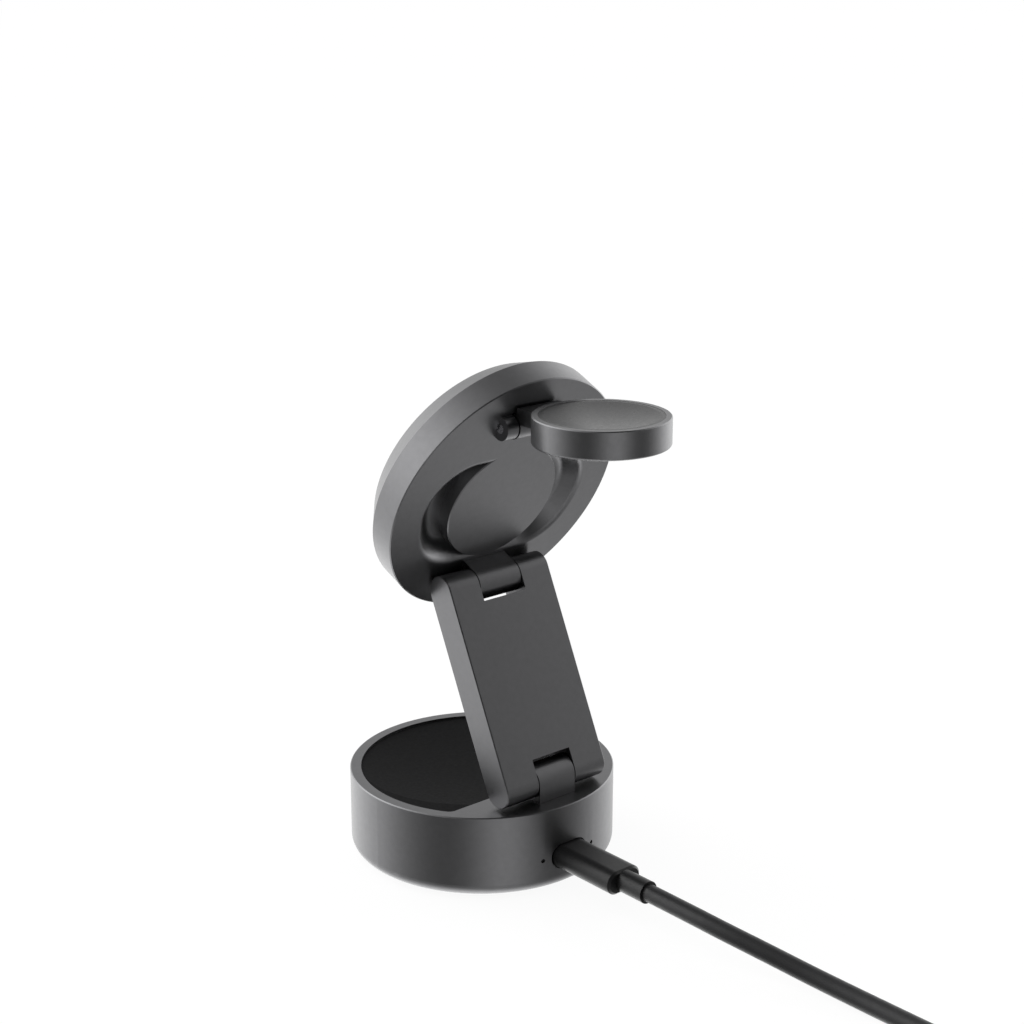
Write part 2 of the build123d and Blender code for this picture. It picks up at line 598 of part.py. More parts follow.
def puck_leaf():
    """Cranked leaf: hinge barrel, bevelled so that it clears the head when open, and a tongue."""
    bevel_y = HINGE_GAP + (HINGE_GAP - PUCK_HINGE_N + LEAF_TOP * math.sin(tilt)) / math.cos(tilt)
    root_top, root_low = [
        ((BARREL_R - CRANK_SINK) * math.cos(angle), (BARREL_R - CRANK_SINK) * math.sin(angle))
        for angle in (math.radians(CRANK_TOP_ANGLE), math.radians(CRANK_LOW_ANGLE))]
    crank = make_face(Polyline(
        root_top, (bevel_y, LEAF_TOP), (LEAF_END, LEAF_TOP), (LEAF_END, LEAF_LOW), (BARREL_R, LEAF_LOW),
        root_low, close=True))
    leaf = across(crank + Circle(BARREL_R), LEAF_W)
    return puck_at * (leaf - pin(PUCK_PIN_R + PIN_FIT, LEAF_W + PAST))


def plug_shell():
    """Hollow metal plug that points along -y, with its root at y = 0."""
    shell = along_y(SlotOverall(PLUG_W, PLUG_H), -PLUG_L, 0)
    hollow = SlotOverall(PLUG_W - 2 * PLUG_WALL, PLUG_H - 2 * PLUG_WALL)
    return shell - along_y(hollow, -PLUG_L - PAST, -PLUG_ROOT)


def plug_grip():
    """Moulded grip behind the plug."""
    grip = along_y(SlotOverall(GRIP_W, GRIP_H), 0, GRIP_L)
    ends = grip.faces().sort_by(Axis.Y)
    return chamfer(ends[0].edges() + ends[-1].edges(), GRIP_EDGE)


def strain_relief():
    return along_y(Circle(RELIEF_D / 2), GRIP_L, GRIP_L + RELIEF_L)


def corner_radii(points):
    """Largest arcs that the runs of a route leave room for."""
    radii = []
    for before, here, after in zip(points, points[1:], points[2:]):
        run_in = Vector(*here) - Vector(*before)
        run_out = Vector(*after) - Vector(*here)
        half_turn = math.radians(run_in.get_angle(run_out)) / 2
        radii.append(ARC_SHARE * min(run_in.length, run_out.length) / math.tan(half_turn))
    return radii


def cable(name, points):
    """Round cable along straight runs and tangent arcs."""
    radii = corner_radii(points)
    path = FilletPolyline(*points, radius=radii)
    section = Plane(origin=path @ 0, z_dir=path % 0) * Circle(CORD_D / 2)
    solid = sweep(section, path=path)
    expected = math.pi * (CORD_D / 2) ** 2 * path.length
    print(f"{name}: length {path.length:.1f}, volume {solid.volume:.1f} of {expected:.1f},",
          "radii", [round(radius) for radius in radii])
    return solid


def cord_coil():
    """Outer shape of the wound cable."""
    coil = ring(COIL_OUT, COIL_IN, TIE_T, COIL_TOP, COIL_X, COIL_Y)
    return fillet(coil.edges().filter_by(GeomType.CIRCLE), COIL_EDGE_R)


def cord_ties():
    """Straps round the coil."""
    strap = ring(COIL_OUT + TIE_T, COIL_IN - TIE_T, 0, COIL_TOP + TIE_T)
    strap -= ring(COIL_OUT, COIL_IN, TIE_T, COIL_TOP)
    strap &= Pos(COIL_R_MID, 0) * Box(COIL_OUT, TIE_W, 4 * COIL_TOP)
    places = [Pos(COIL_X, COIL_Y) * Rot(Z=angle) for angle in TIE_ANGLES]
    return Compound([(place * strap).solid() for place in places])


ferrite_top = PAD_Z - COIL_T
puck_ferrite_top = PUCK_FACE_Z - COIL_T
plug_at = Pos(0, PORT_FLOOR_Y + FIT, PORT_AT_Z)
tail_end = Vector(*TAIL[-1])
tail_dir = (tail_end - Vector(*TAIL[-2])).normalized()
far_plug_at = Pos(*(tail_end + tail_dir * (GRIP_L + RELIEF_L))) * Rot(
    Z=math.degrees(math.atan2(tail_dir.X, -tail_dir.Y)))

parts = {
    "base_shell": base_shell(),
    "dish_pad": dish_pad(),
    "pad_coil": ring(PAD_COIL_R, PAD_COIL_BORE, ferrite_top, PAD_Z, y=DISH_Y),
    "pad_ferrite": disc(PAD_COIL_R + FERRITE_RIM, ferrite_top - FERRITE_T, ferrite_top, y=DISH_Y),
    "main_board": main_board(),
    "usb_socket": usb_socket(),
    "light_pipe_left": light_pipe(-1),
    "light_pipe_right": light_pipe(1),
    "ballast_plate": ballast_plate(),
    "bottom_cover": bottom_cover(),
    "cover_screws": Compound([screw(x, y, FOOT_T) for x, y in cover_screw_places]),
    "foot_pad": disc(BORE_R - FOOT_MARGIN, 0, FOOT_T),
    "base_hinge_lug": base_hinge_lug(),
    "lug_screws": Compound([screw(x, y, LUG_FOOT_Z) for x, y in lug_screw_places]),
    "base_hinge_bush": base_lug_at * hinge_bush(LUG_W),
    "base_hinge_pin": base_lug_at * pin(PIN_R, LOW_PIN_L),
    "arm_bar": arm_bar(),
    "arm_cover_plate": arm_cover_plate(),
    "arm_flat_wire": arm_flat_wire(),
    "head_hinge_pin": arm_at * pin(PIN_R, HIGH_PIN_L, z=ARM_PITCH),
    "head_back_shell": head_back_shell(),
    "head_front_ring": head_front_ring(),
    "face_pad": head_at * disc(HEAD_BORE - FIT, HEAD_FRONT_N, PLATE_N),
    "face_plate": head_at * disc(HEAD_BORE - FIT, PLATE_N, STACK_N),
    "head_coil": head_at * ring(HEAD_COIL_R, HEAD_COIL_BORE, STACK_N, STACK_N + COIL_T),
    "head_ferrite": head_at * disc(HEAD_FERRITE_R, STACK_N + COIL_T, CARRIER_N),
    "magnet_ring": magnet_ring(),
    "carrier_plate": carrier_plate(),
    "head_screws": head_screws(),
    "head_board": head_at * disc(HEAD_BOARD_R, -SEAT_WALL - HEAD_BOARD_T, -SEAT_WALL, y=HEAD_BOARD_V),
    "head_hinge_lug": head_hinge_lug(),
    "head_hinge_bush": head_at * Pos(0, HEAD_PIVOT_V, HEAD_PIVOT_N) * hinge_bush(HEAD_LUG_W),
    "puck_hinge_pin": head_at * pin(PUCK_PIN_R, PUCK_PIN_L, PUCK_HINGE_V, PUCK_HINGE_N),
    "puck_leaf": puck_leaf(),
    "puck_shell": puck_shell(),
    "puck_face": puck_face(),
    "puck_coil": puck_at * ring(PUCK_COIL_R, PUCK_COIL_BORE, puck_ferrite_top, PUCK_FACE_Z, y=PUCK_REACH),
    "puck_ferrite": puck_at * ring(PUCK_COIL_R, PUCK_MAGNET_R + FIT, puck_ferrite_top - FERRITE_T,
                                   puck_ferrite_top, y=PUCK_REACH),
    "puck_magnet": puck_at * disc(PUCK_MAGNET_R, LEAF_LOW, PUCK_FACE_Z, y=PUCK_REACH),
    "plug_shell": plug_at * plug_shell(),
    "plug_grip": plug_at * plug_grip(),
    "strain_relief": plug_at * strain_relief(),
    "cord_tube": cable("cord_tube", ROUTE),
    "cord_coil": cord_coil(),
    "cord_ties": cord_ties(),
    "cord_tail": cable("cord_tail", TAIL),
    "far_strain_relief": far_plug_at * strain_relief(),
    "far_plug_grip": far_plug_at * plug_grip(),
    "far_plug_shell": far_plug_at * plug_shell(),
}

os.makedirs("parts", exist_ok=True)
for name, piece in parts.items():
    export_step(piece, f"parts/{name}.step")
print(len(parts), "nodes, pivots", tuple(base_lug_at.position), tuple(high_pivot), tuple(puck_hinge))
print("head middle", tuple(head_middle), "out of its back", tuple(back_dir))
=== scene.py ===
"""Looks of the folding three in one charger, laid out as a Blender add-on and run as a script.

Metres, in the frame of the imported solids: +Z is up, the cable leaves the drum towards +Y.
"""

import math

import bmesh
import bpy
from bpy.props import FloatProperty, FloatVectorProperty, PointerProperty
from mathutils import Matrix, Vector


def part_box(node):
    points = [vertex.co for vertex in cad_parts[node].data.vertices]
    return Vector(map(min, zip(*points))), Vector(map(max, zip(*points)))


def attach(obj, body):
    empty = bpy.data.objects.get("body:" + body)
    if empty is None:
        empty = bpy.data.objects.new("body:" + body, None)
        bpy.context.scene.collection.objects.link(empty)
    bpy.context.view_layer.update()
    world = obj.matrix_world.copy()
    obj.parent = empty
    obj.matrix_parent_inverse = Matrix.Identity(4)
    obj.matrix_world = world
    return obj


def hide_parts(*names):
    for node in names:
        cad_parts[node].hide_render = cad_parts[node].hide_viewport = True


bl_info = {
    "name": "Folding Charger Looks",
    "version": (1, 0, 0),
    "blender": (4, 5, 0),
    "location": "View3D > Sidebar > Charger",
    "description": "Finishes, cable, ties, plug contacts and studio of a folding wireless charger",
    "category": "Object",
}

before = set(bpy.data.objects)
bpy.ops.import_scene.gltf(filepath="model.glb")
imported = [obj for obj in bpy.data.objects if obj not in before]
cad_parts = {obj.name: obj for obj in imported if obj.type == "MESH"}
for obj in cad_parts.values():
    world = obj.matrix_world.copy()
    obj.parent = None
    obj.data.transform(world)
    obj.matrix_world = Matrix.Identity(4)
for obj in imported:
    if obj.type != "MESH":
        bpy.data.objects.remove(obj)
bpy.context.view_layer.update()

MM = 0.001
WELD = 1e-6            # vertices closer than this become one, in metres
HEAD_TILT = 24.4       # degrees, top towards the back
HEAD_TURN = math.radians(-90 - HEAD_TILT)   # turn of the head's back face about X

# Laid stretch of the cable, and its loose end, in millimetres
ROUTE = [
    (0.0, 63.45, 9.0), (0.0, 78.0, 9.0), (-1.2, 88.0, 8.0), (-3.9, 98.5, 6.1), (-6.8, 109.5, 3.9),
    (-8.8, 121.0, 2.6), (-9.6, 133.0, 2.25), (-10.0, 146.0, 2.25), (-9.7, 160.0, 2.35),
    (-9.4, 173.0, 2.85),
]
TAIL = [
    (33.3, 208.2, 7.35), (41.1, 203.7, 7.3), (48.5, 197.8, 6.5), (54.2, 189.4, 4.6), (57.0, 179.1, 3.25),
    (57.6, 169.0, 3.25),
]
# Contacts in the free plug, in millimetres
CONTACTS = 12          # in each of two rows
CONTACT_PITCH = 0.5
CONTACT_SIZE = (0.26, 3.2, 0.14)
CONTACT_RISE = 0.59    # row from the middle of the plug
CONTACT_FORWARD = 0.6  # middle of a contact in front of the middle of the shell
CONTACT_EDGE = 0.05

# Winding of the coil; places along it are in turns
COIL_ROWS = 3          # turns side by side
COIL_LAYERS = 2
COIL_STEPS = 24        # points a turn
COIL_LAST_STEP = 127   # the cable leaves the coil after this point
ROW_SHIFT = 0.25       # stretch in which the cable crosses to the next row or layer
INWARD_AT = (0.75, 1.75)
CLIMB_AT = 2.5
OUTWARD_AT = (3.25, 4.25, 5.25)

# Ties round the coil, in degrees and millimetres
TIE_ANGLES = (115, 285)
TIE_CORNER_R = 1.6
TIE_TAB_L = 11.0
TIE_TAB_SHIFT = 1.5    # loose tab outside the middle of the band
TIE_TAB_EDGE = 0.25
PARALLEL = 0.9         # least dot product of directions that count as parallel

# Patterns of the finishes, in millimetres unless named
WIRE_PITCH = 0.9       # turns of a flat coil
TRACK_PITCH = (2.2, 3.1)
STRIP_PITCH = 0.8      # strips of the flat wire
BRUSH_PITCH = 0.18     # grain of plated metal
BRUSH_STRETCH = 12.0   # length of a line of that grain over its width
BOARD_SKIN = 0.02      # solder mask, below which a board is green
BARE_BOARD = 2.0       # more than the head's bare board is thick
NOISE_SPAN = (0.3, 0.7)  # most of a noise lies between these levels

# Studio, in metres unless named
FLOOR_R = 6.0
FLOOR_SEEN = 0.93      # level of the floor to the camera
FLOOR_PALE = 0.1       # what the floor gives back to the object
LAMP_AT = (0.1, 0.1, 0.95)
LAMP_AIM = (0, 0.02, 0.07)
LAMP_SIDE = 0.9
CAMERA_BACK = (0.6256, 0.7267, 0.2838)
SENSOR = 36.0          # millimetres

# Lit panels of the studio: direction, sharpness of the edge, brightness
PANELS = (
    ((0.47, -0.76, 0.44), 5.0, 3.1),     # large box on the left
    ((-0.99, 0.0, 0.15), 6.0, 2.6),      # large box on the right
    ((0.33, 0.89, -0.33), 12.0, 1.05),   # card beside the camera
    ((-0.17, -0.69, -0.7), 3.2, 1.8),    # bright table behind the charger
    ((0.0, 0.0, -1.0), 7.0, 1.4),        # bright table under it
)


def colour_prop(name, description, default):
    return FloatVectorProperty(name=name, description=description, default=default, subtype="COLOR",
                               size=3, min=0.0, max=1.0)


def length_prop(name, description, default):
    return FloatProperty(name=name, description=description, default=default, unit="LENGTH", min=0.0)


class ChargerFinishes(bpy.types.PropertyGroup):
    """Colours and gloss of the charger's materials"""

    metal: colour_prop("Metal", "Satin anodised aluminium", (0.195, 0.195, 0.2))
    metal_roughness: FloatProperty(name="Metal roughness", description="Blast of the aluminium",
                                   default=0.36, min=0.05, max=1.0, subtype="FACTOR")
    silicone: colour_prop("Silicone", "Dished pad, face pad and foot", (0.009, 0.009, 0.0094))
    moulding: colour_prop("Moulding", "Moulded black covers", (0.014, 0.014, 0.0145))
    plug: colour_prop("Plug", "Grips and strain reliefs of the cable", (0.018, 0.018, 0.0186))
    sheath: colour_prop("Sheath", "Cable sheath", (0.018, 0.018, 0.019))
    tie: colour_prop("Tie", "Hook and loop ties of the coil", (0.016, 0.016, 0.017))
    copper: colour_prop("Copper", "Enamelled wire of the coils", (0.62, 0.26, 0.11))
    board: colour_prop("Board", "Solder mask of the circuit boards", (0.008, 0.075, 0.028))
    steel: colour_prop("Steel", "Plated pins, screws and plug shells", (0.58, 0.58, 0.6))
    gold: colour_prop("Gold", "Plated contacts", (0.83, 0.6, 0.22))


class ChargerCable(bpy.types.PropertyGroup):
    """Sizes of the cable, its coil and its ties"""

    diameter: length_prop("Diameter", "Outside of the sheath", 0.0045)
    coil_x: length_prop("Coil X", "Middle of the coil across", 0.0206)
    coil_y: length_prop("Coil Y", "Middle of the coil behind the drum", 0.181)
    coil_inner: length_prop("Inner row", "Radius of the innermost turns", 0.021)
    coil_low: length_prop("Lower layer", "Height of the lower layer's middle", 0.00285)
    tie_width: length_prop("Tie width", "Width of a tie", 0.009)
    tie_thickness: length_prop("Tie thickness", "Thickness of a tie", 0.0006)


class ChargerStage(bpy.types.PropertyGroup):
    """Camera, lamps and backdrop"""

    lens: FloatProperty(name="Lens", description="Focal length on a 36 mm sensor", default=68.7,
                        unit="CAMERA", min=10.0)
    camera: FloatVectorProperty(name="Camera", description="Place of the camera", subtype="TRANSLATION",
                                unit="LENGTH", default=(0.3074, 0.36936, 0.23416), size=3)
    ambient: FloatProperty(name="Ambient", description="Level of the dim room round the lit panels",
                           default=0.005, min=0.0)
    top: FloatProperty(name="Top", description="Power of the overhead lamp", default=2.0, unit="POWER",
                       min=0.0)


def math_node(tree, operation, *values):
    """Math node on numbers and outputs."""
    node = tree.nodes.new("ShaderNodeMath")
    node.operation = operation
    for socket, value in zip(node.inputs, values):
        if isinstance(value, (int, float)):
            socket.default_value = value
        else:
            tree.links.new(value, socket)
    return node.outputs["Value"]


def shade(colour, factor):
    """Colour made darker or lighter."""
    return [min(1.0, channel * factor) for channel in colour]


class Finish:
    """One material under construction, on the Object coordinates of the piece that wears it."""

    def __init__(self, name, roughness, colour=None, metallic=0.0, **sockets):
        self.material = bpy.data.materials.new(name)
        self.material.use_nodes = True
        self.nodes = self.material.node_tree.nodes
        self.links = self.material.node_tree.links
        self.shader = self.nodes["Principled BSDF"]
        self.set("Roughness", roughness)
        self.set("Metallic", metallic)
        if colour is not None:
            self.set("Base Color", (*colour, 1.0))
            self.material.diffuse_color = (*colour, 1.0)
        for socket, value in sockets.items():
            self.set(socket.replace("_", " "), value)
        self.coords = self.nodes.new("ShaderNodeTexCoord").outputs["Object"]

    def set(self, socket, value):
        self.shader.inputs[socket].default_value = value

    def link(self, output, socket):
        self.links.new(output, self.shader.inputs[socket])

    def placed(self, middle=(0, 0, 0), turn=(0, 0, 0), stretch=(1, 1, 1)):
        """Coordinates centred on a point and turned about it."""
        mapping = self.nodes.new("ShaderNodeMapping")
        mapping.vector_type = "TEXTURE"
        mapping.inputs["Location"].default_value = middle
        mapping.inputs["Rotation"].default_value = turn
        mapping.inputs["Scale"].default_value = stretch
        self.links.new(self.coords, mapping.inputs["Vector"])
        return mapping.outputs["Vector"]

    def noise(self, scale, detail=3.0, coords=None):
        node = self.nodes.new("ShaderNodeTexNoise")
        node.inputs["Scale"].default_value = scale
        node.inputs["Detail"].default_value = detail
        self.links.new(coords or self.coords, node.inputs["Vector"])
        return node.outputs["Fac"]

    def cells(self, scale):
        node = self.nodes.new("ShaderNodeTexVoronoi")
        node.inputs["Scale"].default_value = scale
        self.links.new(self.coords, node.inputs["Vector"])
        return node.outputs["Distance"]

    def wave(self, pitch, kind="RINGS", axis="Z", coords=None, distortion=0.0):
        """Bands or rings with the given pitch in metres."""
        node = self.nodes.new("ShaderNodeTexWave")
        node.wave_type = kind
        node.bands_direction = axis
        node.rings_direction = axis
        node.inputs["Scale"].default_value = math.pi / 10 / pitch
        node.inputs["Distortion"].default_value = distortion
        self.links.new(coords or self.coords, node.inputs["Vector"])
        return node.outputs["Fac"]

    def ramp(self, value, stops):
        """Colours along a value."""
        node = self.nodes.new("ShaderNodeValToRGB")
        places = node.color_ramp.elements
        while len(places) < len(stops):
            places.new(1.0)
        for place, (position, colour) in zip(places, stops):
            place.position = position
            place.color = (*colour, 1.0)
        self.links.new(value, node.inputs["Fac"])
        return node.outputs["Color"]

    def span(self, value, low, high, start=0.0, end=1.0):
        """Value mapped to a new range."""
        node = self.nodes.new("ShaderNodeMapRange")
        for socket, number in (("From Min", start), ("From Max", end), ("To Min", low), ("To Max", high)):
            node.inputs[socket].default_value = number
        self.links.new(value, node.inputs["Value"])
        return node.outputs["Result"]

    def math(self, operation, first, second):
        return math_node(self.material.node_tree, operation, first, second)

    def along(self, axis, coords):
        node = self.nodes.new("ShaderNodeSeparateXYZ")
        self.links.new(coords, node.inputs["Vector"])
        return node.outputs[axis]

    def mottle(self, colour, scale, spread):
        """Colour that drifts a little darker and lighter."""
        stops = list(zip(NOISE_SPAN, (shade(colour, 1 - spread), shade(colour, 1 + spread))))
        self.link(self.ramp(self.noise(scale, detail=4.0), stops), "Base Color")

    def uneven(self, low, high, scale):
        """Roughness that drifts between two levels."""
        self.link(self.span(self.noise(scale), low, high, *NOISE_SPAN), "Roughness")

    def relief(self, height, strength, depth):
        """Surface texture of the given depth in metres."""
        node = self.nodes.new("ShaderNodeBump")
        node.inputs["Strength"].default_value = strength
        node.inputs["Distance"].default_value = depth
        self.links.new(height, node.inputs["Height"])
        self.link(node.outputs["Normal"], "Normal")


def finishes():
    return bpy.context.scene.charger_finishes


def satin_metal(name):
    """Blasted and anodised aluminium."""
    look = finishes()
    finish = Finish(name, look.metal_roughness, look.metal, 1.0)
    finish.mottle(look.metal, scale=600.0, spread=0.03)
    finish.uneven(look.metal_roughness - 0.015, look.metal_roughness + 0.015, scale=900.0)
    finish.relief(finish.noise(5200.0, detail=2.0), strength=0.12, depth=0.02 * MM)
    return finish.material


def soft_silicone(name, dots=False):
    """Matt silicone with a fine skin, or with the small dots of a foot."""
    look = finishes()
    finish = Finish(name, 0.8, look.silicone, Specular_IOR_Level=0.08)
    finish.mottle(look.silicone, scale=900.0, spread=0.12)
    finish.uneven(0.76, 0.86, scale=1200.0)
    if dots:
        domes = finish.span(finish.cells(900.0), low=1.0, high=0.0, start=0.15, end=0.45)
        finish.relief(domes, strength=0.5, depth=0.2 * MM)
    else:
        finish.relief(finish.noise(3600.0, detail=2.0), strength=0.15, depth=0.04 * MM)
    return finish.material


def moulded_black(name, colour, gloss=0.42, grain=2400.0):
    """Moulded plastic with a fine spark-eroded grain."""
    finish = Finish(name, gloss, colour, Specular_IOR_Level=0.35)
    finish.mottle(colour, scale=900.0, spread=0.1)
    finish.uneven(gloss - 0.03, gloss + 0.03, scale=1200.0)
    finish.relief(finish.noise(grain, 3.0), strength=0.14, depth=0.04 * MM)
    return finish.material


def wound_copper(name, middle, turn=0.0):
    """Flat coil of enamelled wire, wound round its own middle."""
    look = finishes()
    finish = Finish(name, 0.3, look.copper, 1.0, Coat_Weight=0.6, Coat_Roughness=0.15)
    turns = finish.wave(WIRE_PITCH * MM, coords=finish.placed(middle, (turn, 0, 0)))
    gap = shade(look.copper, 0.35)
    finish.link(finish.ramp(turns, [(0.05, gap), (0.45, look.copper)]), "Base Color")
    finish.uneven(0.25, 0.38, scale=700.0)
    finish.relief(turns, strength=0.8, depth=0.3 * MM)
    return finish.material


def sintered_ferrite(name):
    """Dull grey ceramic."""
    dark, light = (0.022, 0.022, 0.023), (0.06, 0.06, 0.062)
    finish = Finish(name, 0.75)
    finish.link(finish.ramp(finish.noise(2600.0, detail=4.0), [(0.35, dark), (0.7, light)]), "Base Color")
    finish.uneven(0.65, 0.85, scale=900.0)
    finish.relief(finish.noise(1800.0, detail=5.0), strength=0.4, depth=0.1 * MM)
    return finish.material


def circuit_board(name, top, turn=0.0, middle=(0, 0, 0)):
    """Solder mask over copper tracks, with dark parts above the given height of the board."""
    look = finishes()
    finish = Finish(name, 0.32, look.board)
    place = finish.placed(middle, (turn, 0, 0))
    across, along = [pitch * MM for pitch in TRACK_PITCH]
    tracks = finish.math("MULTIPLY", finish.wave(across, "BANDS", "X", place, distortion=1.2),
                         finish.wave(along, "BANDS", "Y", place, distortion=0.8))
    mask = finish.ramp(tracks, [(0.3, look.board), (0.42, shade(look.board, 2.1))])
    above = finish.math("GREATER_THAN", finish.along("Z", place), top)
    mix = finish.nodes.new("ShaderNodeMix")
    mix.data_type = "RGBA"
    mix.inputs["B"].default_value = (0.012, 0.012, 0.013, 1.0)
    finish.links.new(above, mix.inputs["Factor"])
    finish.links.new(mask, mix.inputs["A"])
    finish.link(mix.outputs["Result"], "Base Color")
    finish.uneven(0.26, 0.4, scale=800.0)
    finish.relief(tracks, strength=0.3, depth=0.05 * MM)
    return finish.material


def plated_metal(name, colour, roughness, axis="X"):
    """Plated and lightly brushed metal, with its grain along an axis."""
    finish = Finish(name, roughness, colour, 1.0)
    stretch = [BRUSH_STRETCH if letter == axis else 1.0 for letter in "XYZ"]
    lines = finish.noise(1.0 / (BRUSH_PITCH * MM), detail=2.0, coords=finish.placed(stretch=stretch))
    finish.mottle(colour, scale=300.0, spread=0.08)
    finish.link(finish.span(lines, roughness - 0.06, roughness + 0.08, *NOISE_SPAN), "Roughness")
    finish.relief(lines, strength=0.12, depth=0.02 * MM)
    return finish.material


def porous_bronze(name):
    """Sintered bronze with open pores."""
    pore, bronze = (0.16, 0.09, 0.04), (0.5, 0.32, 0.14)
    finish = Finish(name, 0.42, bronze, 1.0)
    pores = finish.cells(2600.0)
    finish.link(finish.ramp(pores, [(0.1, pore), (0.32, bronze)]), "Base Color")
    finish.uneven(0.35, 0.5, scale=900.0)
    finish.relief(pores, strength=0.3, depth=0.05 * MM)
    return finish.material


def spangled_zinc(name):
    """Zinc plate with large grains."""
    dull, bright = (0.34, 0.35, 0.36), (0.5, 0.51, 0.52)
    finish = Finish(name, 0.36, (0.42, 0.43, 0.44), 1.0)
    finish.link(finish.ramp(finish.cells(260.0), [(0.1, dull), (0.6, bright)]), "Base Color")
    finish.uneven(0.28, 0.44, scale=400.0)
    finish.relief(finish.noise(1500.0), strength=0.1, depth=0.03 * MM)
    return finish.material


def smoked_clear(name):
    """Clear moulding with a smoky tint."""
    smoke = (0.32, 0.32, 0.33)
    finish = Finish(name, 0.18, smoke, Transmission_Weight=0.7, IOR=1.49)
    finish.uneven(0.12, 0.24, scale=2000.0)
    finish.mottle(smoke, scale=900.0, spread=0.1)
    return finish.material


def polyimide_film(name):
    """Amber film over a row of copper strips."""
    gap, strip = (0.2, 0.07, 0.01), (0.42, 0.18, 0.03)
    finish = Finish(name, 0.3, (0.36, 0.14, 0.02), Coat_Weight=0.4)
    strips = finish.wave(STRIP_PITCH * MM, "BANDS", "X")
    finish.link(finish.ramp(strips, [(0.25, gap), (0.5, strip)]), "Base Color")
    finish.uneven(0.24, 0.36, scale=600.0)
    finish.relief(strips, strength=0.4, depth=0.04 * MM)
    return finish.material


def cable_sheath(name):
    """Extruded sheath with a faint orange skin."""
    look = finishes()
    finish = Finish(name, 0.46, look.sheath, Specular_IOR_Level=0.45)
    finish.mottle(look.sheath, scale=220.0, spread=0.15)
    finish.uneven(0.42, 0.52, scale=600.0)
    finish.relief(finish.noise(1500.0, detail=2.0), strength=0.12, depth=0.06 * MM)
    return finish.material


def hook_and_loop(name):
    """Brushed loop tape."""
    look = finishes()
    finish = Finish(name, 0.9, look.tie, Sheen_Weight=0.35, Sheen_Roughness=0.5, Specular_IOR_Level=0.2)
    loops = finish.cells(2300.0)
    finish.link(finish.ramp(loops, [(0.1, shade(look.tie, 2.4)), (0.6, look.tie)]), "Base Color")
    finish.uneven(0.82, 0.95, scale=700.0)
    pile = finish.math("ADD", loops, finish.noise(1400.0, detail=4.0))
    finish.relief(pile, strength=0.7, depth=0.25 * MM)
    return finish.material


def middle_of(name):
    """Middle of a CAD node."""
    low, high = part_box(name)
    return (low + high) / 2


def dress(material, *names):
    """Gives CAD nodes their finish."""
    for name in names:
        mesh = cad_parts[name].data
        mesh.materials.clear()
        mesh.materials.append(material)


def add_piece(name, bm, material, body):
    """Finished mesh with its place in its vertices, riding on a body."""
    bmesh.ops.remove_doubles(bm, verts=bm.verts, dist=WELD)
    bmesh.ops.recalc_face_normals(bm, faces=bm.faces)
    mesh = bpy.data.meshes.new(name)
    bm.to_mesh(mesh)
    bm.free()
    if not mesh.polygons:
        raise RuntimeError(f"{name} came out empty")
    mesh.materials.append(material)
    piece = bpy.data.objects.new(name, mesh)
    bpy.context.scene.collection.objects.link(piece)
    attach(piece, body)
    return piece


def rounded_box(bm, size, place, radius):
    """Box with rounded edges, added to a mesh."""
    made = bmesh.ops.create_cube(bm, size=1.0, matrix=place @ Matrix.Diagonal((*size, 1.0)))
    edges = {edge for vert in made["verts"] for edge in vert.link_edges}
    bmesh.ops.bevel(bm, geom=list(edges), offset=radius, affect="EDGES", segments=2, profile=0.5, material=-1)


class CHARGER_OT_drum(bpy.types.Operator):
    """Finish the drum, its dished pad, hinge lug, cover and foot"""

    bl_idname = "charger.drum"
    bl_label = "Drum"

    def execute(self, context):
        look = finishes()
        dress(satin_metal("satin_drum"), "base_shell", "base_hinge_lug")
        dress(soft_silicone("soft_pad"), "dish_pad")
        dress(soft_silicone("dotted_foot", dots=True), "foot_pad")
        dress(moulded_black("moulded_cover", look.moulding), "bottom_cover")
        dress(spangled_zinc("zinc_weight"), "ballast_plate")
        dress(smoked_clear("smoked_pipe"), "light_pipe_left", "light_pipe_right")
        return {"FINISHED"}


class CHARGER_OT_arm(bpy.types.Operator):
    """Finish the hinged arm, its cover plate and the wire under it"""

    bl_idname = "charger.arm"
    bl_label = "Arm"

    def execute(self, context):
        dress(satin_metal("satin_arm"), "arm_bar", "arm_cover_plate")
        dress(polyimide_film("amber_wire"), "arm_flat_wire")
        return {"FINISHED"}


class CHARGER_OT_head(bpy.types.Operator):
    """Finish the charging head and what is stacked in it"""

    bl_idname = "charger.head"
    bl_label = "Charging head"

    def execute(self, context):
        look = finishes()
        dress(satin_metal("satin_head"), "head_back_shell", "head_front_ring", "head_hinge_lug")
        dress(soft_silicone("soft_face"), "face_pad")
        dress(moulded_black("moulded_plate", look.moulding), "face_plate", "carrier_plate")
        return {"FINISHED"}


class CHARGER_OT_puck(bpy.types.Operator):
    """Finish the puck and its cranked leaf"""

    bl_idname = "charger.puck"
    bl_label = "Puck"

    def execute(self, context):
        dress(satin_metal("satin_puck"), "puck_shell", "puck_leaf")
        dress(moulded_black("puck_moulding", finishes().moulding, gloss=0.3, grain=4200.0), "puck_face")
        return {"FINISHED"}


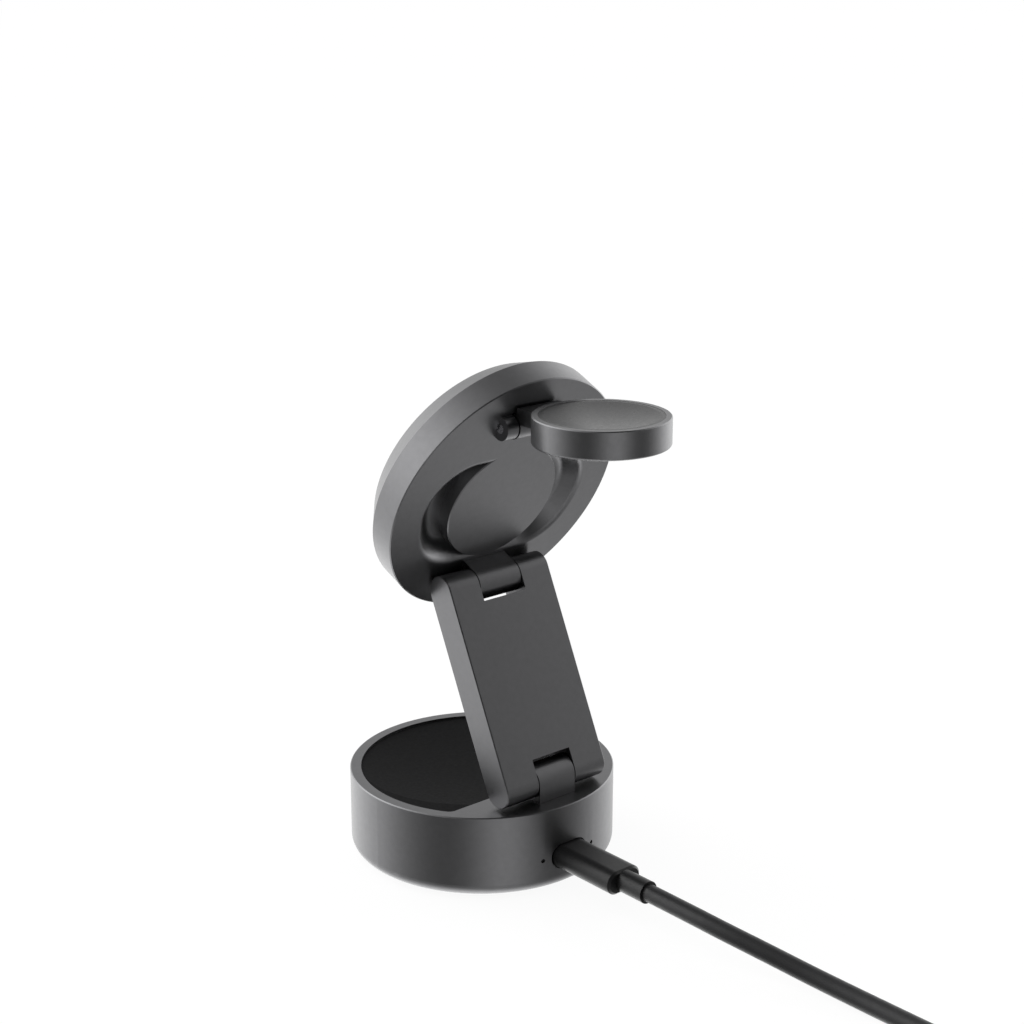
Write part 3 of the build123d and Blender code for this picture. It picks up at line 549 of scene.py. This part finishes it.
class CHARGER_OT_inner_works(bpy.types.Operator):
    """Finish the coils, ferrites, magnets and boards"""

    bl_idname = "charger.inner_works"
    bl_label = "Coils and boards"

    def execute(self, context):
        for name, turn in (("pad_coil", 0.0), ("head_coil", HEAD_TURN), ("puck_coil", 0.0)):
            dress(wound_copper(f"copper_{name}", middle_of(name), turn), name)
        dress(sintered_ferrite("sintered_ferrite"), "pad_ferrite", "head_ferrite", "puck_ferrite")
        dress(plated_metal("nickel_magnet", (0.66, 0.64, 0.6), 0.25), "magnet_ring", "puck_magnet")
        board_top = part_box("usb_socket")[0].z
        dress(circuit_board("green_board", board_top + BOARD_SKIN * MM), "main_board")
        head_board = circuit_board("green_head_board", BARE_BOARD * MM, HEAD_TURN, middle_of("head_board"))
        dress(head_board, "head_board")
        return {"FINISHED"}


class CHARGER_OT_fixings(bpy.types.Operator):
    """Finish the screws, hinge pins and bushes"""

    bl_idname = "charger.fixings"
    bl_label = "Pins, bushes and screws"

    def execute(self, context):
        steel = finishes().steel
        dress(plated_metal("plated_pin", steel, 0.24), "base_hinge_pin", "head_hinge_pin", "puck_hinge_pin")
        screw = plated_metal("plated_screw", steel, 0.32, axis="Z")
        dress(screw, "cover_screws", "lug_screws", "head_screws")
        dress(porous_bronze("porous_bronze"), "base_hinge_bush", "head_hinge_bush")
        return {"FINISHED"}


class CHARGER_OT_plugs(bpy.types.Operator):
    """Finish the socket and both plugs, and set the contacts into the free plug"""

    bl_idname = "charger.plugs"
    bl_label = "Plugs"

    def execute(self, context):
        look = finishes()
        shell = plated_metal("plated_plug", look.steel, 0.26, axis="Y")
        dress(shell, "usb_socket", "plug_shell", "far_plug_shell")
        grip = moulded_black("satin_grip", look.plug, gloss=0.38)
        dress(grip, "plug_grip", "strain_relief", "far_plug_grip", "far_strain_relief")
        run = Vector(TAIL[-1]) - Vector(TAIL[-2])
        turn = Matrix.Rotation(math.atan2(run.x, -run.y), 4, "Z")
        plug = Matrix.Translation(middle_of("far_plug_shell")) @ turn
        bm = bmesh.new()
        for level in (-CONTACT_RISE, CONTACT_RISE):
            for place in range(CONTACTS):
                x = (place - (CONTACTS - 1) / 2) * CONTACT_PITCH
                at = plug @ Matrix.Translation(Vector((x, -CONTACT_FORWARD, level)) * MM)
                rounded_box(bm, [side * MM for side in CONTACT_SIZE], at, CONTACT_EDGE * MM)
        gold = plated_metal("gold_contact", look.gold, 0.22, axis="Y")
        add_piece("plug_contacts", bm, gold, "base")
        return {"FINISHED"}


def ease(share):
    """Smooth step from 0 to 1."""
    share = min(1.0, max(0.0, share))
    return share * share * (3 - 2 * share)


class CHARGER_OT_cable(bpy.types.Operator):
    """Lay the cable from its strain relief to the coil and on to the free plug"""

    bl_idname = "charger.cable"
    bl_label = "Cable"

    def winding(self, cable):
        """Points of the coil: three rows inwards in the lower layer, then three rows outwards on top."""
        pitch = cable.diameter
        shrink = math.cos(math.pi / COIL_STEPS)   # the curve runs inside its points
        points = []
        for step in range(COIL_LAST_STEP + 1):
            turn = step / COIL_STEPS
            row = COIL_ROWS - 1
            row -= sum(ease((turn - start) / ROW_SHIFT) for start in INWARD_AT)
            row += sum(ease((turn - start) / ROW_SHIFT) for start in OUTWARD_AT)
            radius = (cable.coil_inner + row * pitch) / shrink
            height = cable.coil_low + pitch * ease((turn - CLIMB_AT) / ROW_SHIFT)
            angle = math.pi - math.tau * turn
            points.append(Vector((cable.coil_x + radius * math.cos(angle),
                                  cable.coil_y + radius * math.sin(angle), height)))
        return points

    def execute(self, context):
        cable = context.scene.charger_cable
        route = [Vector(point) * MM for point in ROUTE]
        route += self.winding(cable)
        route += [Vector(point) * MM for point in TAIL]
        curve = bpy.data.curves.new("power_cable", "CURVE")
        curve.dimensions = "3D"
        curve.resolution_u = 6
        curve.bevel_depth = cable.diameter / 2
        curve.bevel_resolution = 5
        curve.use_fill_caps = True
        spline = curve.splines.new("NURBS")
        spline.points.add(len(route) - 1)
        for point, place in zip(spline.points, route):
            point.co = (*place, 1.0)
        spline.order_u = 3
        spline.use_endpoint_u = True
        curve.materials.append(cable_sheath("sheath"))
        piece = bpy.data.objects.new("power_cable", curve)
        context.scene.collection.objects.link(piece)
        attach(piece, "base")
        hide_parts("cord_tube", "cord_coil", "cord_tail")
        return {"FINISHED"}


class CHARGER_OT_ties(bpy.types.Operator):
    """Strap the coil with two hook and loop ties"""

    bl_idname = "charger.ties"
    bl_label = "Coil ties"

    def execute(self, context):
        cable = context.scene.charger_cable
        thick = cable.tie_thickness
        inner = cable.coil_inner - cable.diameter / 2
        outer = inner + COIL_ROWS * cable.diameter
        middle = (inner + outer) / 2
        size = Vector((outer - inner + 2 * thick, cable.tie_width, COIL_LAYERS * cable.diameter + 2 * thick))
        coil = Matrix.Translation((cable.coil_x, cable.coil_y, 0))
        bm = bmesh.new()
        for degrees in TIE_ANGLES:
            at = coil @ Matrix.Rotation(math.radians(degrees), 4, "Z")
            self.strap(bm, size, at @ Matrix.Translation((middle, 0, size.z / 2)), thick)
            tab = at @ Matrix.Translation((middle + TIE_TAB_SHIFT * MM, 0, size.z + thick / 2))
            rounded_box(bm, (TIE_TAB_L * MM, cable.tie_width, thick), tab, TIE_TAB_EDGE * MM)
        piece = add_piece("coil_ties", bm, hook_and_loop("loop_tape"), "base")
        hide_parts("cord_ties")
        return {"FINISHED"}

    def strap(self, bm, size, place, thick):
        """Closed band round the turns, open along the cable."""
        made = bmesh.ops.create_cube(bm, size=1.0, matrix=place @ Matrix.Diagonal((*size, 1.0)))
        along = (place.to_3x3() @ Vector((0, 1, 0))).normalized()
        faces = {face for vert in made["verts"] for face in vert.link_faces}
        ends = [face for face in faces if abs(face.normal.dot(along)) > PARALLEL]
        walls = [face for face in faces if face not in ends]
        edges = {edge for face in walls for edge in face.edges
                 if abs((edge.verts[0].co - edge.verts[1].co).normalized().dot(along)) > PARALLEL}
        bmesh.ops.delete(bm, geom=ends, context="FACES_ONLY")
        rounded = bmesh.ops.bevel(bm, geom=list(edges), offset=TIE_CORNER_R * MM, affect="EDGES", segments=5,
                                  profile=0.5, material=-1)
        band = set(rounded["faces"]) | {face for face in walls if face.is_valid}
        bmesh.ops.recalc_face_normals(bm, faces=list(band))
        bmesh.ops.solidify(bm, geom=list(band), thickness=thick)


class CHARGER_OT_stage(bpy.types.Operator):
    """Set the floor, the soft lamp, the studio round them and the camera"""

    bl_idname = "charger.stage"
    bl_label = "Stage"

    def lamp(self, power):
        """Square soft lamp above the charger."""
        light = bpy.data.lights.new("top_softbox", "AREA")
        light.shape = "RECTANGLE"
        light.size = light.size_y = LAMP_SIDE
        light.energy = power
        lamp = bpy.data.objects.new("top_softbox", light)
        lamp.location = LAMP_AT
        lamp.rotation_euler = (Vector(LAMP_AIM) - Vector(LAMP_AT)).to_track_quat("-Z", "Y").to_euler()
        lamp.visible_camera = False
        lamp.visible_glossy = False
        bpy.context.scene.collection.objects.link(lamp)

    def floor(self):
        """Pale floor that is near white to the camera and keeps the shadow."""
        bm = bmesh.new()
        bmesh.ops.create_circle(bm, cap_ends=True, segments=96, radius=FLOOR_R)
        mesh = bpy.data.meshes.new("floor")
        bm.to_mesh(mesh)
        bm.free()
        floor = bpy.data.objects.new("floor", mesh)
        bpy.context.scene.collection.objects.link(floor)
        floor.visible_glossy = False
        material = bpy.data.materials.new("pale_floor")
        material.use_nodes = True
        nodes, links = material.node_tree.nodes, material.node_tree.links
        nodes.remove(nodes["Principled BSDF"])
        rays = nodes.new("ShaderNodeLightPath")
        pale = nodes.new("ShaderNodeBsdfDiffuse")
        pale.inputs["Color"].default_value = (FLOOR_PALE, FLOOR_PALE, FLOOR_PALE, 1.0)
        white = nodes.new("ShaderNodeEmission")
        links.new(rays.outputs["Is Camera Ray"], white.inputs["Strength"])
        white.inputs["Color"].default_value = (FLOOR_SEEN, FLOOR_SEEN, FLOOR_SEEN, 1.0)
        both = nodes.new("ShaderNodeAddShader")
        links.new(pale.outputs["BSDF"], both.inputs[0])
        links.new(white.outputs["Emission"], both.inputs[1])
        links.new(both.outputs["Shader"], nodes["Material Output"].inputs["Surface"])
        mesh.materials.append(material)

    def surroundings(self, stage):
        """White to camera and transmission rays; a dim room with lit panels to every other ray."""
        world = bpy.data.worlds.new("studio")
        bpy.context.scene.world = world
        world.use_nodes = True
        tree = world.node_tree
        nodes, links = tree.nodes, tree.links
        coords = nodes.new("ShaderNodeTexCoord")
        level = stage.ambient
        for direction, sharpness, brightness in PANELS:
            towards = nodes.new("ShaderNodeVectorMath")
            towards.operation = "DOT_PRODUCT"
            towards.inputs[1].default_value = Vector(direction).normalized()
            links.new(coords.outputs["Generated"], towards.inputs[0])
            falloff = math_node(tree, "MULTIPLY_ADD", towards.outputs["Value"], sharpness, -sharpness)
            panel = math_node(tree, "EXPONENT", falloff)
            level = math_node(tree, "MULTIPLY_ADD", panel, brightness, level)
        rays = nodes.new("ShaderNodeLightPath").outputs
        seen = math_node(tree, "MAXIMUM", rays["Is Camera Ray"], rays["Is Transmission Ray"])
        backdrop = nodes.new("ShaderNodeMix")
        backdrop.inputs["B"].default_value = 1.0
        links.new(seen, backdrop.inputs["Factor"])
        links.new(level, backdrop.inputs["A"])
        links.new(backdrop.outputs["Result"], nodes["Background"].inputs["Strength"])
        nodes["Background"].inputs["Color"].default_value = (1.0, 1.0, 1.0, 1.0)

    def camera(self, stage):
        """Level camera with its back along CAMERA_BACK."""
        data = bpy.data.cameras.new("camera")
        data.lens = stage.lens
        data.sensor_width = SENSOR
        data.clip_start = 0.01
        camera = bpy.data.objects.new("camera", data)
        back = Vector(CAMERA_BACK).normalized()
        right = Vector((0, 0, 1)).cross(back).normalized()
        axes = Matrix((right, back.cross(right), back)).transposed()
        camera.matrix_world = Matrix.Translation(stage.camera) @ axes.to_4x4()
        bpy.context.scene.collection.objects.link(camera)
        bpy.context.scene.camera = camera

    def execute(self, context):
        stage = context.scene.charger_stage
        context.scene.view_settings.view_transform = "Standard"
        self.floor()
        self.surroundings(stage)
        self.lamp(stage.top)
        self.camera(stage)
        return {"FINISHED"}


class CHARGER_PT_looks(bpy.types.Panel):
    """Steps and settings of the charger's looks"""

    bl_idname = "CHARGER_PT_looks"
    bl_label = "Folding charger"
    bl_space_type = "VIEW_3D"
    bl_region_type = "UI"
    bl_category = "Charger"

    def draw(self, context):
        layout = self.layout
        for step in STEPS:
            layout.operator(step.bl_idname)
        for setting in SETTINGS:
            group = getattr(context.scene, setting)
            box = layout.box()
            for name in group.bl_rna.properties.keys():
                if name not in ("rna_type", "name"):
                    box.prop(group, name)


STEPS = (CHARGER_OT_drum, CHARGER_OT_arm, CHARGER_OT_head, CHARGER_OT_puck, CHARGER_OT_inner_works,
         CHARGER_OT_fixings, CHARGER_OT_plugs, CHARGER_OT_ties, CHARGER_OT_cable, CHARGER_OT_stage)
SETTINGS = {"charger_finishes": ChargerFinishes, "charger_cable": ChargerCable, "charger_stage": ChargerStage}


def register():
    for group in SETTINGS.values():
        bpy.utils.register_class(group)
    for name, group in SETTINGS.items():
        setattr(bpy.types.Scene, name, PointerProperty(type=group))
    for step in (*STEPS, CHARGER_PT_looks):
        bpy.utils.register_class(step)


def unregister():
    for step in reversed((*STEPS, CHARGER_PT_looks)):
        bpy.utils.unregister_class(step)
    for name, group in SETTINGS.items():
        delattr(bpy.types.Scene, name)
        bpy.utils.unregister_class(group)


def main():
    register()
    bpy.ops.charger.drum()
    bpy.ops.charger.arm()
    bpy.ops.charger.head()
    bpy.ops.charger.puck()
    bpy.ops.charger.inner_works()
    bpy.ops.charger.fixings()
    bpy.ops.charger.plugs()
    bpy.ops.charger.ties()
    bpy.ops.charger.cable()
    bpy.ops.charger.stage()


if __name__ == "__main__":
    main()
